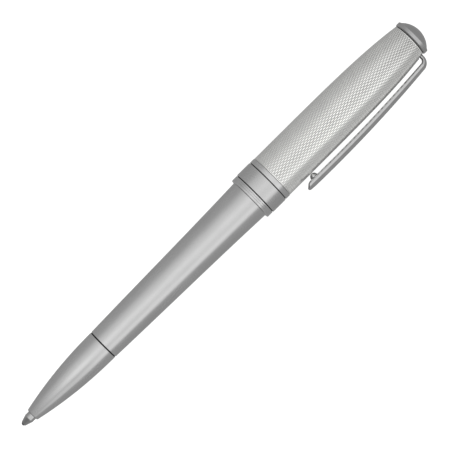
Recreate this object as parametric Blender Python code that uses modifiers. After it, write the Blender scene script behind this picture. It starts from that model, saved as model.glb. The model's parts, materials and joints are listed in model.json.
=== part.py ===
"""Twist-action ballpoint pen with a sprung pocket clip, built from separate pieces.

Every piece is first laid out in the pen's own frame: the writing tip at the origin, +Z along
the axis towards the finial, and the clip on the +X side. A "station" is a distance from the tip
along that axis. The whole pen is then laid down along world X, resting on its centre band and
on the clip, with the world origin under the middle of its bounding box.

The pen is modelled with the tip extended. Turning the upper half by TWIST_ANGLE draws the
refill back by TRAVEL.
"""
import math

import bmesh
import bpy
from mathutils import Matrix, Vector

MM = 0.001

# ---------------------------------------------------------------- driving dimensions
OVERALL_LENGTH = 137.0 * MM
SEGMENTS = 32
SMALL_SEGMENTS = 16
GAP = 0.05 * MM
MERGE = 0.001 * MM
SMOOTH_ANGLE = math.radians(32)

TRAVEL = 5.0 * MM
TWIST_ANGLE = math.pi

# stations of the seams, counted from the writing tip
MOUTH_STATION = 3.50 * MM
NOSE_SEAM_STATION = 27.80 * MM
SHOULDER_STATION = 78.33 * MM
FLANGE_STATION = 78.23 * MM
LOWER_GROOVE_STATION = 80.05 * MM
UPPER_GROOVE_STATION = 84.52 * MM
SHELL_START = 86.00 * MM
SHELL_END = 133.52 * MM
FINIAL_BASE = 133.66 * MM
DOME_RISE = 2.05 * MM

# half widths of the ring-shaped seams and of the black rings that lie in them
NOSE_SEAM_HALF = 0.16 * MM
GROOVE_HALF = 0.12 * MM
GROOVE_WASHER_HALF = 0.08 * MM
GROOVE_DEPTH = 0.25 * MM

# outside radii
MOUTH_RADIUS = 1.666 * MM
NOSE_SEAM_RADIUS = 4.21 * MM
BARREL_START_RADIUS = 4.22 * MM
FLANGE_RADIUS = 6.24 * MM
BAND_RADIUS = 6.32 * MM
TRIM_RADIUS = 6.28 * MM
SHELL_RADIUS = 6.20 * MM
SHELL_END_RADIUS = 4.74 * MM
FINIAL_RADIUS = 4.95 * MM
DOME_EDGE_RADIUS = 4.60 * MM

# shape of the two curved walls: radius lost = drop * (share of the length) ** power
NOSE_POWER = 2.104
SHELL_POWER = 4.4
SHELL_WALL = 0.70 * MM

# radius that the barrel gains along its length, by powers of the share of that length
BARREL_FLARE = (1.477 * MM, -1.039 * MM, 0.830 * MM)

# refill, after the common metal refill of 98 mm
REFILL_LENGTH = 98.0 * MM
BALL_RADIUS = 0.50 * MM
POINT_LIP_STATION = 0.36 * MM
POINT_LIP_RADIUS = 0.58 * MM
POINT_RADIUS = 1.25 * MM
POINT_CONE = 2.30 * MM
POINT_REAR = 21.0 * MM
POINT_REAR_RADIUS = 1.45 * MM
REFILL_NECK_STATION = 17.8 * MM
REFILL_NECK_RADIUS = 1.95 * MM
REFILL_RADIUS = 2.85 * MM
REFILL_BORE = 2.60 * MM
REFILL_TUBE_END = 93.0 * MM
REFILL_PLUG_START = 89.0 * MM
INK_START = 22.9 * MM
INK_END = 86.0 * MM

# refill spring
SPRING_START = 10.0 * MM
SPRING_TURNS = 8
SPRING_RADIUS = 1.70 * MM
SPRING_WIRE = 0.18 * MM

# threads are plain running fits
NOSE_SPIGOT_RADIUS = 3.40 * MM
NOSE_BORE = 3.05 * MM
NOSE_SPRING_BORE = 2.15 * MM
NOSE_POINT_BORE = 1.36 * MM
SPIGOT_END = 34.0 * MM
BARREL_BORE = 3.55 * MM

# twist mechanism
TAIL_RADIUS = 4.90 * MM
TAIL_END = 86.0 * MM
O_RING_STATION = 83.0 * MM
O_RING_GROOVE_RADIUS = 4.48 * MM
O_RING_WIRE = 0.21 * MM
SLEEVE_RADIUS = 4.00 * MM
SLEEVE_BORE = 3.30 * MM
SLEEVE_START = 71.0 * MM
SLEEVE_END = 115.0 * MM
CAM_RADIUS = 4.90 * MM
CAM_BORE = 4.15 * MM
CAM_START = 87.0 * MM
CAM_END = 113.0 * MM
PIN_STATION = 104.0 * MM
PIN_RADIUS = 0.50 * MM
PIN_REACH = 4.75 * MM
PLUNGER_RADIUS = 3.15 * MM
PLUNGER_START = 96.2 * MM
PLUNGER_END = 108.0 * MM
SNAP_RING_STATION = 113.6 * MM
SNAP_RING_GROOVE_RADIUS = 3.75 * MM
SNAP_RING_RADIUS = 4.75 * MM
SNAP_RING_BORE = 3.85 * MM
CARRIER_RADIUS = 5.50 * MM
CARRIER_BORE = 5.00 * MM
CARRIER_START = 79.0 * MM
CARRIER_END = 90.5 * MM
FLANGE_LIP_STATION = 78.62 * MM
LINER_BORE = 4.95 * MM
LINER_START = 90.6 * MM
LINER_END = 113.8 * MM
RING_BORE = 5.55 * MM
RING_BORE_END = 114.0 * MM

# stack on the finial's stud
STUD_RADIUS = 0.80 * MM
STUD_START = 122.5 * MM
STUD_END = 135.2 * MM
STUD_HOLE_RADIUS = 0.88 * MM
NUT_RADIUS = 1.90 * MM
NUT_START = 125.1 * MM
NUT_END = 126.9 * MM
TOP_PLUG_RADIUS = 4.15 * MM
TOP_PLUG_BORE = 0.90 * MM
TOP_PLUG_START = 127.0 * MM
TOP_PLUG_END = 131.4 * MM
CLAMP_RADIUS = 3.30 * MM
SPRING_WASHER_BORE = 1.10 * MM
SPRING_WASHER_START = 131.5 * MM
SPRING_WASHER_END = 131.9 * MM
CLIP_RING_BORE = 1.00 * MM
FINIAL_BOSS_RADIUS = 3.50 * MM

# clip: both faces of the bar are long arcs with their crest at one station
CLIP_CREST_STATION = 99.0 * MM
CLIP_OUTER_CREST = 9.19 * MM
CLIP_INNER_CREST = 7.31 * MM
CLIP_OUTER_SWEEP = 344.0 * MM
CLIP_INNER_SWEEP = 430.0 * MM
CLIP_HALF_WIDTH = 1.38 * MM
CLIP_LEG_HALF_WIDTH = 1.20 * MM
CLIP_CREASE = 0.487
CLIP_FLAT_SHARE = 0.42
CLIP_FRONT_FLAT_HALF = 3.0 * MM
CLIP_LEG_TOP = 133.28 * MM
CLIP_LEG_THICKNESS = 0.92 * MM
CLIP_OUTER_BEND = 2.50 * MM
CLIP_INNER_BEND = 0.80 * MM
CLIP_ROOT_X = 4.15 * MM
CLIP_BALL_STATION = 93.35 * MM
CLIP_BALL_RADIUS = 1.05 * MM
NOTCH_START = 131.9 * MM
NOTCH_WIDTH = 3.10 * MM

# sections of the slanted free end: inner x and station, outer x and station, share of the width
CLIP_FREE_END = (
    (8.35 * MM, 90.17 * MM, 8.75 * MM, 90.17 * MM, 0.66),
    (7.86 * MM, 90.76 * MM, 8.97 * MM, 90.42 * MM, 0.88),
    (7.42 * MM, 91.26 * MM, 9.05 * MM, 90.90 * MM, 0.98),
)

# the pen lies with its clip this far below the horizontal, on the front side
ROLL = math.radians(3.5 * 360 / SEGMENTS)


# ---------------------------------------------------------------- scene helpers
def clear_scene():
    for obj in list(bpy.data.objects):
        bpy.data.objects.remove(obj, do_unlink=True)


def new_collection(name):
    collection = bpy.data.collections.new(name)
    bpy.context.scene.collection.children.link(collection)
    return collection


def metal(name, colour, roughness):
    return principled(name, colour, roughness, 1.0)


def plastic(name, colour, roughness):
    return principled(name, colour, roughness, 0.0)


def principled(name, colour, roughness, metallic):
    material = bpy.data.materials.new(name)
    material.use_nodes = True
    shader = material.node_tree.nodes["Principled BSDF"]
    shader.inputs["Base Color"].default_value = (*colour, 1.0)
    shader.inputs["Roughness"].default_value = roughness
    shader.inputs["Metallic"].default_value = metallic
    material.diffuse_color = (*colour, 1.0)
    return material


def empty_at(name, parent, location=(0.0, 0.0, 0.0)):
    empty = bpy.data.objects.new(name, None)
    empty.empty_display_size = 5 * MM
    empty.location = location
    empty.parent = parent
    parts.objects.link(empty)
    return empty


def add_object(name, mesh, collection):
    obj = bpy.data.objects.new(name, mesh)
    collection.objects.link(obj)
    return obj


def apply_modifiers(obj):
    """Swap an object's mesh for what its modifiers make of it."""
    bpy.context.view_layer.update()
    evaluated = obj.evaluated_get(bpy.context.evaluated_depsgraph_get())
    mesh = bpy.data.meshes.new_from_object(evaluated)
    obj.modifiers.clear()
    obj.data = mesh


def finish_piece(obj, material, parent):
    """Shade a piece, give it its material and hang it on its joint's empty."""
    apply_modifiers(obj)
    mesh = obj.data
    mesh.name = obj.name
    mesh.shade_smooth()
    mesh.set_sharp_from_angle(angle=SMOOTH_ANGLE)
    mesh.materials.clear()
    mesh.materials.append(material)
    obj.parent = parent
    return obj


def cut(obj, *tools):
    for tool in tools:
        boolean = obj.modifiers.new("cut", "BOOLEAN")
        boolean.operation = "DIFFERENCE"
        boolean.solver = "EXACT"
        boolean.object = tool


# ---------------------------------------------------------------- shape helpers
def arc(centre_radius, centre_station, size, start, end, steps):
    """Points of an arc in the (radius, station) plane, angles in degrees from the radius axis."""
    points = []
    for step in range(steps + 1):
        angle = math.radians(start + (end - start) * step / steps)
        points.append((
            centre_radius + size * math.cos(angle),
            centre_station + size * math.sin(angle),
        ))
    return points


def turned(name, profile, closed, segments=SEGMENTS, collection=None):
    """A turned shape: the profile runs down the outer side, from the finial end to the tip end."""
    mesh = bpy.data.meshes.new(name)
    count = len(profile)
    edges = [(i, i + 1) for i in range(count - 1)]
    if closed:
        edges.append((count - 1, 0))
    mesh.from_pydata([(r, 0.0, z) for r, z in profile], edges, [])
    obj = add_object(name, mesh, collection or parts)
    screw = obj.modifiers.new("turn", "SCREW")
    screw.axis = "Z"
    screw.angle = 2 * math.pi
    screw.steps = segments
    screw.render_steps = segments
    screw.use_merge_vertices = True
    screw.merge_threshold = MERGE
    return obj


def turned_tube(name, outer, bore, start, end, segments=SEGMENTS):
    return turned(name, [(outer, end), (outer, start), (bore, start), (bore, end)], True, segments)


def turned_rod(name, radius, start, end, segments=SMALL_SEGMENTS, collection=None):
    profile = [(0, end), (radius, end), (radius, start), (0, start)]
    return turned(name, profile, False, segments, collection)


def cutter_box(name, low, high):
    """A box cutter between two corners."""
    mesh = bpy.data.meshes.new(name)
    shape = bmesh.new()
    size = Vector(high) - Vector(low)
    middle = (Vector(high) + Vector(low)) / 2
    matrix = Matrix.Translation(middle) @ Matrix.Diagonal((*size, 1.0))
    bmesh.ops.create_cube(shape, size=1.0, matrix=matrix)
    shape.to_mesh(mesh)
    shape.free()
    return as_cutter(add_object(name, mesh, cutters))


def as_cutter(obj):
    obj.hide_render = True
    obj.display_type = "WIRE"
    return obj


def round_wire(name, points, radius, collection):
    """A closed mesh tube along a list of points, with flat ends."""
    curve = bpy.data.curves.new(name, "CURVE")
    curve.dimensions = "3D"
    curve.bevel_depth = radius
    curve.bevel_resolution = 2
    curve.use_fill_caps = True
    spline = curve.splines.new("POLY")
    spline.points.add(len(points) - 1)
    for slot, point in zip(spline.points, points):
        slot.co = (*point, 1.0)
    wire = add_object(name + "_path", curve, collection)
    bpy.context.view_layer.update()
    evaluated = wire.evaluated_get(bpy.context.evaluated_depsgraph_get())
    mesh = bpy.data.meshes.new_from_object(evaluated)
    shape = bmesh.new()
    shape.from_mesh(mesh)
    bmesh.ops.remove_doubles(shape, verts=shape.verts, dist=MERGE)
    bmesh.ops.recalc_face_normals(shape, faces=shape.faces)
    shape.to_mesh(mesh)
    shape.free()
    solid = add_object(name, mesh, collection)
    solid.matrix_world = wire.matrix_world
    bpy.data.objects.remove(wire, do_unlink=True)
    return solid


def on_circle(radius, angle, station):
    return (radius * math.cos(angle), radius * math.sin(angle), station)


# ---------------------------------------------------------------- outline rules
def nose_radius(station):
    share = (NOSE_SEAM_STATION - station) / (NOSE_SEAM_STATION - MOUTH_STATION)
    return NOSE_SEAM_RADIUS - (NOSE_SEAM_RADIUS - MOUTH_RADIUS) * share ** NOSE_POWER


def barrel_radius(station):
    share = (station - NOSE_SEAM_STATION) / (SHOULDER_STATION - NOSE_SEAM_STATION)
    gain = sum(factor * share ** power for power, factor in enumerate(BARREL_FLARE, 1))
    return BARREL_START_RADIUS + gain


def shell_radius(station):
    share = (station - SHELL_START) / (SHELL_END - SHELL_START)
    return SHELL_RADIUS - (SHELL_RADIUS - SHELL_END_RADIUS) * share ** SHELL_POWER


def clip_outer(station):
    return CLIP_OUTER_CREST - (station - CLIP_CREST_STATION) ** 2 / (2 * CLIP_OUTER_SWEEP)


def clip_inner(station):
    return CLIP_INNER_CREST - (station - CLIP_CREST_STATION) ** 2 / (2 * CLIP_INNER_SWEEP)


def stations_down(start, end, steps):
    """Evenly spaced stations from the higher one down to the lower one."""
    return [start + (end - start) * step / steps for step in range(steps + 1)]


# ---------------------------------------------------------------- refill
def make_writing_ball(parent):
    mesh = bpy.data.meshes.new("writing_ball")
    shape = bmesh.new()
    bmesh.ops.create_uvsphere(shape, u_segments=12, v_segments=8, radius=BALL_RADIUS)
    shape.to_mesh(mesh)
    shape.free()
    ball = add_object("writing_ball", mesh, parts)
    finish_piece(ball, metal("tungsten_carbide", (0.42, 0.42, 0.44), 0.15), parent)


def make_refill_tip(parent):
    seat = BALL_RADIUS + 0.04 * MM
    step = REFILL_NECK_STATION - 0.2 * MM
    feed = 0.20 * MM
    channel = 0.70 * MM
    profile = [
        (POINT_REAR_RADIUS, POINT_REAR),
        (POINT_REAR_RADIUS, step),
        (POINT_RADIUS, step),
        (POINT_RADIUS, POINT_CONE),
        (POINT_RADIUS - 0.05 * MM, POINT_CONE - 0.20 * MM),
        (POINT_LIP_RADIUS + 0.08 * MM, POINT_LIP_STATION + 0.12 * MM),
        (POINT_LIP_RADIUS, POINT_LIP_STATION),
    ]
    profile += arc(0, BALL_RADIUS, seat, -14, 55, 4)
    profile += [(feed, 1.4 * MM), (feed, 3.0 * MM), (channel, 3.6 * MM), (channel, POINT_REAR)]
    tip = turned("refill_tip", profile, True, 24)
    finish_piece(tip, metal("nickel_silver", (0.36, 0.36, 0.36), 0.3), parent)


def make_refill_tube(parent):
    socket = POINT_REAR_RADIUS + GAP
    profile = [
        (REFILL_RADIUS, REFILL_TUBE_END),
        (REFILL_RADIUS, 21.6 * MM),
        (REFILL_NECK_RADIUS, 19.0 * MM),
        (REFILL_NECK_RADIUS, REFILL_NECK_STATION),
        (socket, REFILL_NECK_STATION),
        (socket, 20.4 * MM),
        (REFILL_BORE, 22.4 * MM),
        (REFILL_BORE, REFILL_TUBE_END),
    ]
    tube = turned("refill_tube", profile, True, 24)
    finish_piece(tube, metal("refill_steel", (0.6, 0.6, 0.62), 0.35), parent)


def make_ink_column(parent):
    ink = turned_rod("ink_column", REFILL_BORE - 2 * GAP, INK_START, INK_END, 24)
    finish_piece(ink, plastic("ink_paste", (0.01, 0.015, 0.06), 0.3), parent)


def make_refill_end_plug(parent):
    profile = [
        (0, REFILL_LENGTH),
        (REFILL_RADIUS - 0.3 * MM, REFILL_LENGTH),
        (REFILL_RADIUS, REFILL_LENGTH - 0.3 * MM),
        (REFILL_RADIUS, REFILL_TUBE_END + GAP),
        (REFILL_BORE - GAP, REFILL_TUBE_END + GAP),
        (REFILL_BORE - GAP, REFILL_PLUG_START),
        (0, REFILL_PLUG_START),
    ]
    plug = turned("refill_end_plug", profile, False, 24)
    half = 0.5 * MM
    reach = 4 * MM
    depth = REFILL_LENGTH - 1.6 * MM
    above = REFILL_LENGTH + 1 * MM
    cut(
        plug,
        cutter_box("plug_slot_a", (-reach, -half, depth), (reach, half, above)),
        cutter_box("plug_slot_b", (-half, -reach, depth), (half, reach, above)),
    )
    finish_piece(plug, plastic("plug_plastic", (0.02, 0.02, 0.025), 0.5), parent)


def make_refill_spring(parent):
    """A compression spring between the nose's inner step and the refill's neck."""
    steps_per_turn = 12
    first = SPRING_START + SPRING_WIRE
    last = REFILL_NECK_STATION - GAP - SPRING_WIRE
    closed_pitch = 2.5 * SPRING_WIRE
    open_pitch = (last - first - 2 * closed_pitch) / (SPRING_TURNS - 2)
    points = []
    for step in range(SPRING_TURNS * steps_per_turn + 1):
        turn = step / steps_per_turn
        rise = min(turn, 1) * closed_pitch
        rise += min(max(turn - 1, 0), SPRING_TURNS - 2) * open_pitch
        rise += max(turn - (SPRING_TURNS - 1), 0) * closed_pitch
        points.append(on_circle(SPRING_RADIUS, 2 * math.pi * turn, first + rise))
    spring = round_wire("refill_spring", points, SPRING_WIRE, parts)
    finish_piece(spring, metal("spring_steel", (0.5, 0.5, 0.52), 0.25), parent)


# ---------------------------------------------------------------- nose and lower barrel
def make_nose_cone(parent):
    rear = NOSE_SEAM_STATION - NOSE_SEAM_HALF
    chamfer = 0.12 * MM
    front = MOUTH_STATION + chamfer
    profile = [(NOSE_BORE, SPIGOT_END), (NOSE_SPIGOT_RADIUS - chamfer, SPIGOT_END)]
    profile += [(NOSE_SPIGOT_RADIUS, SPIGOT_END - chamfer), (NOSE_SPIGOT_RADIUS, rear)]
    profile += [(nose_radius(z), z) for z in stations_down(rear, front, 10)]
    profile += [
        (nose_radius(front) - chamfer, MOUTH_STATION),
        (NOSE_POINT_BORE, MOUTH_STATION),
        (NOSE_POINT_BORE, SPRING_START - GAP),
        (NOSE_SPRING_BORE, SPRING_START - GAP),
        (NOSE_SPRING_BORE, 17.0 * MM),
        (NOSE_BORE, 19.8 * MM),
    ]
    nose = turned("nose_cone", profile, True)
    finish_piece(nose, metal("satin_nose", (0.62, 0.62, 0.61), 0.32), parent)


def make_nose_seal(parent):
    seam_half = NOSE_SEAM_HALF - GAP
    seal = turned_tube(
        "nose_seal",
        NOSE_SEAM_RADIUS - 0.08 * MM,
        NOSE_SPIGOT_RADIUS + GAP,
        NOSE_SEAM_STATION - seam_half,
        NOSE_SEAM_STATION + seam_half,
    )
    finish_piece(seal, plastic("seal_rubber", (0.015, 0.015, 0.015), 0.6), parent)


def make_lower_barrel(parent):
    front = NOSE_SEAM_STATION + NOSE_SEAM_HALF
    groove_half = O_RING_WIRE + 0.06 * MM
    profile = [
        (TAIL_RADIUS, TAIL_END),
        (TAIL_RADIUS, O_RING_STATION + groove_half),
        (O_RING_GROOVE_RADIUS, O_RING_STATION + groove_half),
        (O_RING_GROOVE_RADIUS, O_RING_STATION - groove_half),
        (TAIL_RADIUS, O_RING_STATION - groove_half),
        (TAIL_RADIUS, SHOULDER_STATION),
    ]
    profile += [(barrel_radius(z), z) for z in stations_down(SHOULDER_STATION, front, 6)]
    profile += [
        (BARREL_BORE, front),
        (BARREL_BORE, SLEEVE_START - 1.0 * MM),
        (SLEEVE_RADIUS + GAP, SLEEVE_START - 0.5 * MM),
        (SLEEVE_RADIUS + GAP, TAIL_END),
    ]
    barrel = turned("lower_barrel", profile, True)
    finish_piece(barrel, metal("satin_barrel", (0.62, 0.62, 0.61), 0.32), parent)


# ---------------------------------------------------------------- twist mechanism
def make_mechanism_sleeve(parent):
    """The fixed guide tube: two straight slots keep the drive pin from turning."""
    half = 0.4 * MM
    profile = [
        (SLEEVE_RADIUS, SLEEVE_END),
        (SLEEVE_RADIUS, SNAP_RING_STATION + half),
        (SNAP_RING_GROOVE_RADIUS, SNAP_RING_STATION + half),
        (SNAP_RING_GROOVE_RADIUS, SNAP_RING_STATION - half),
        (SLEEVE_RADIUS, SNAP_RING_STATION - half),
        (SLEEVE_RADIUS, SLEEVE_START),
        (SLEEVE_BORE, SLEEVE_START),
        (SLEEVE_BORE, SLEEVE_END),
    ]
    sleeve = turned("mechanism_sleeve", profile, True, 24)
    slot_half = PIN_RADIUS + 0.2 * MM
    reach = 6 * MM
    low = PIN_STATION - PIN_RADIUS - 0.4 * MM
    high = PIN_STATION + TRAVEL + PIN_RADIUS + 0.4 * MM
    cut(sleeve, cutter_box("guide_slot", (-slot_half, -reach, low), (slot_half, reach, high)))
    finish_piece(sleeve, metal("sleeve_brass", (0.75, 0.55, 0.25), 0.35), parent)


def make_twist_o_ring(parent):
    bpy.ops.mesh.primitive_torus_add(
        major_segments=SEGMENTS,
        minor_segments=8,
        major_radius=O_RING_GROOVE_RADIUS + O_RING_WIRE + 0.04 * MM,
        minor_radius=O_RING_WIRE,
        location=(0, 0, O_RING_STATION),
    )
    ring = bpy.context.active_object
    ring.name = "twist_o_ring"
    for collection in list(ring.users_collection):
        collection.objects.unlink(ring)
    parts.objects.link(ring)
    finish_piece(ring, plastic("o_ring_rubber", (0.02, 0.02, 0.02), 0.55), parent)


def make_thrust_washer(parent):
    washer = turned_tube(
        "thrust_washer",
        TAIL_RADIUS,
        SLEEVE_RADIUS + 2 * GAP,
        TAIL_END + 2 * GAP,
        CAM_START - 2 * GAP,
    )
    finish_piece(washer, plastic("washer_nylon", (0.85, 0.84, 0.8), 0.5), parent)


def make_retaining_ring(parent):
    """An open snap ring in the sleeve's groove holds the upper half on."""
    half = 0.3 * MM
    low = SNAP_RING_STATION - half
    high = SNAP_RING_STATION + half
    ring = turned_tube("retaining_ring", SNAP_RING_RADIUS, SNAP_RING_BORE, low, high, 24)
    near = SNAP_RING_BORE - 1 * MM
    far = SNAP_RING_RADIUS + 1 * MM
    gap_half = 1 * MM
    cut(ring, cutter_box("ring_gap", (near, -gap_half, low - half), (far, gap_half, high + half)))
    finish_piece(ring, metal("snap_ring_steel", (0.4, 0.4, 0.42), 0.3), parent)


def make_cam_tube(parent):
    """The turning tube: two half-turn helical slots drive the pin along the axis."""
    cam = turned_tube("cam_tube", CAM_RADIUS, CAM_BORE, CAM_START, CAM_END)
    slot_radius = 0.85 * MM
    mean_radius = (CAM_RADIUS + CAM_BORE) / 2
    overrun = math.radians(12)
    steps = 24
    for start, label in ((math.pi / 2, "a"), (-math.pi / 2, "b")):
        points = []
        for step in range(steps + 1):
            turn = -overrun + (TWIST_ANGLE + 2 * overrun) * step / steps
            station = PIN_STATION + TRAVEL * turn / TWIST_ANGLE
            points.append(on_circle(mean_radius, start - turn, station))
        slot = round_wire("cam_slot_" + label, points, slot_radius, cutters)
        cut(cam, as_cutter(slot))
    finish_piece(cam, plastic("cam_acetal", (0.8, 0.8, 0.78), 0.45), parent)


def make_plunger(parent):
    socket = REFILL_RADIUS + 0.1 * MM
    profile = [
        (0, PLUNGER_END),
        (PLUNGER_RADIUS - 0.3 * MM, PLUNGER_END),
        (PLUNGER_RADIUS, PLUNGER_END - 0.3 * MM),
        (PLUNGER_RADIUS, PLUNGER_START),
        (socket, PLUNGER_START),
        (socket, REFILL_LENGTH + GAP),
        (0, REFILL_LENGTH + GAP),
    ]
    plunger = turned("mechanism_plunger", profile, False, 24)
    bore = turned_rod("pin_bore", PIN_RADIUS + GAP, -6 * MM, 6 * MM, 12, cutters)
    bore.location = (0, 0, PIN_STATION)
    bore.rotation_euler = (math.pi / 2, 0, 0)
    cut(plunger, as_cutter(bore))
    finish_piece(plunger, plastic("plunger_acetal", (0.75, 0.75, 0.72), 0.45), parent)


def make_drive_pin(parent):
    pin = turned_rod("drive_pin", PIN_RADIUS, -PIN_REACH, PIN_REACH, 12)
    finish_piece(pin, metal("pin_steel", (0.5, 0.5, 0.52), 0.2), parent)
    pin.location = (0, 0, PIN_STATION)
    pin.rotation_euler = (math.pi / 2, 0, 0)


# ---------------------------------------------------------------- centre rings
def make_band_carrier(parent):
    carrier = turned_tube("band_carrier", CARRIER_RADIUS, CARRIER_BORE, CARRIER_START, CARRIER_END)
    finish_piece(carrier, metal("carrier_brass", (0.75, 0.55, 0.25), 0.35), parent)


def make_flange_ring(parent):
    top = LOWER_GROOVE_STATION - GROOVE_HALF
    rounding = 0.25 * MM
    profile = [(RING_BORE, top), (FLANGE_RADIUS, top)]
    profile += arc(FLANGE_RADIUS - rounding, FLANGE_STATION + rounding, rounding, 0, -90, 3)
    profile += [
        (RING_BORE, FLANGE_STATION),
        (RING_BORE, FLANGE_LIP_STATION),
        (CARRIER_BORE + GAP, FLANGE_LIP_STATION),
        (CARRIER_BORE + GAP, CARRIER_START - GAP),
        (RING_BORE, CARRIER_START - GAP),
    ]
    ring = turned("flange_ring", profile, True)
    finish_piece(ring, metal("satin_flange", (0.58, 0.58, 0.57), 0.3), parent)


def make_groove_washer(name, station, parent):
    low = station - GROOVE_WASHER_HALF
    high = station + GROOVE_WASHER_HALF
    washer = turned_tube(name, BAND_RADIUS - GROOVE_DEPTH, RING_BORE, low, high)
    finish_piece(washer, plastic(name + "_black", (0.01, 0.01, 0.01), 0.5), parent)


def make_centre_band(parent):
    bottom = LOWER_GROOVE_STATION + GROOVE_HALF
    top = UPPER_GROOVE_STATION - GROOVE_HALF
    edge = 0.06 * MM
    profile = [
        (RING_BORE, top),
        (BAND_RADIUS - edge, top),
        (BAND_RADIUS, top - edge),
        (BAND_RADIUS, bottom + edge),
        (BAND_RADIUS - edge, bottom),
        (RING_BORE, bottom),
    ]
    band = turned("centre_band", profile, True)
    finish_piece(band, metal("satin_band", (0.6, 0.6, 0.59), 0.3), parent)


def make_upper_trim_ring(parent):
    bottom = UPPER_GROOVE_STATION + GROOVE_HALF
    top = SHELL_START - GAP
    edge = 0.08 * MM
    profile = [
        (RING_BORE, top),
        (TRIM_RADIUS - edge, top),
        (TRIM_RADIUS, top - edge),
        (TRIM_RADIUS, bottom),
        (RING_BORE, bottom),
    ]
    ring = turned("upper_trim_ring", profile, True)
    finish_piece(ring, metal("satin_trim", (0.6, 0.6, 0.59), 0.3), parent)


# ---------------------------------------------------------------- upper half
def make_upper_barrel(parent):
    profile = [(shell_radius(z), z) for z in stations_down(SHELL_END, 110.0 * MM, 10)]
    profile += [(shell_radius(z), z) for z in (98.0 * MM, SHELL_START)]
    profile += [(RING_BORE, SHELL_START), (RING_BORE, RING_BORE_END)]
    for z in reversed(stations_down(SHELL_END, RING_BORE_END, 6)):
        profile.append((shell_radius(z) - SHELL_WALL, z))
    shell = turned("upper_barrel", profile, True)
    half = NOTCH_WIDTH / 2
    above = SHELL_END + 1 * MM
    cut(shell, cutter_box("clip_notch", (3 * MM, -half, NOTCH_START), (7 * MM, half, above)))
    finish_piece(shell, metal("engraved_silver", (0.85, 0.85, 0.83), 0.3), parent)


def make_upper_liner(parent):
    liner = turned_tube("upper_liner", CARRIER_RADIUS, LINER_BORE, LINER_START, LINER_END)
    finish_piece(liner, metal("liner_brass", (0.75, 0.55, 0.25), 0.35), parent)


def make_top_plug(parent):
    plug = turned_tube(
        "top_plug", TOP_PLUG_RADIUS, TOP_PLUG_BORE, TOP_PLUG_START, TOP_PLUG_END, 24
    )
    finish_piece(plug, metal("plug_brass", (0.75, 0.55, 0.25), 0.35), parent)


def make_spring_washer(parent):
    washer = turned_tube(
        "spring_washer",
        CLAMP_RADIUS,
        SPRING_WASHER_BORE,
        SPRING_WASHER_START,
        SPRING_WASHER_END,
        24,
    )
    finish_piece(washer, metal("washer_steel", (0.5, 0.5, 0.52), 0.3), parent)


def make_clip_ring(parent):
    """The clamped foot of the clip: a ring round the stud with a short tongue in the notch."""
    top = CLIP_LEG_TOP - GAP
    bottom = CLIP_LEG_TOP - CLIP_LEG_THICKNESS + GAP
    ring = turned_tube("clip_ring", CLAMP_RADIUS, CLIP_RING_BORE, bottom, top, 24)
    half = CLIP_LEG_HALF_WIDTH - 0.1 * MM
    tongue = cutter_box("clip_tongue", (2.6 * MM, -half, bottom), (3.9 * MM, half, top))
    join = ring.modifiers.new("tongue", "BOOLEAN")
    join.operation = "UNION"
    join.solver = "EXACT"
    join.object = tongue
    finish_piece(ring, metal("clip_ring_steel", (0.6, 0.6, 0.6), 0.3), parent)


def make_finial_stud(parent):
    stud = turned_rod("finial_stud", STUD_RADIUS, STUD_START, STUD_END)
    finish_piece(stud, metal("stud_steel", (0.5, 0.5, 0.52), 0.3), parent)


def make_stud_nut(parent):
    nut = turned_rod("stud_nut", NUT_RADIUS, NUT_START, NUT_END, 6)
    low = NUT_START - 1 * MM
    high = NUT_END + 1 * MM
    bore = turned_rod("nut_bore", STUD_HOLE_RADIUS, low, high, SMALL_SEGMENTS, cutters)
    cut(nut, as_cutter(bore))
    finish_piece(nut, metal("nut_brass", (0.75, 0.55, 0.25), 0.35), parent)


def make_finial_cap(parent):
    dome_edge = OVERALL_LENGTH - DOME_RISE
    sphere = (DOME_EDGE_RADIUS ** 2 + DOME_RISE ** 2) / (2 * DOME_RISE)
    edge_angle = math.degrees(math.acos(DOME_EDGE_RADIUS / sphere))
    dome = arc(0, OVERALL_LENGTH - sphere, sphere, 90, edge_angle, 7)
    edge = 0.10 * MM
    boss = CLIP_LEG_TOP + GAP
    hole_end = STUD_END + 0.2 * MM
    profile = [(0, OVERALL_LENGTH)] + dome[1:]
    profile += [
        (FINIAL_RADIUS - edge, dome_edge - 0.06 * MM),
        (FINIAL_RADIUS, dome_edge - 0.18 * MM),
        (FINIAL_RADIUS, FINIAL_BASE + edge),
        (FINIAL_RADIUS - edge, FINIAL_BASE),
        (FINIAL_BOSS_RADIUS, FINIAL_BASE),
        (FINIAL_BOSS_RADIUS, boss),
        (STUD_HOLE_RADIUS, boss),
        (STUD_HOLE_RADIUS, hole_end),
        (0, hole_end),
    ]
    cap = turned("finial_cap", profile, False)
    finish_piece(cap, metal("satin_finial", (0.45, 0.45, 0.45), 0.3), parent)


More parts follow.
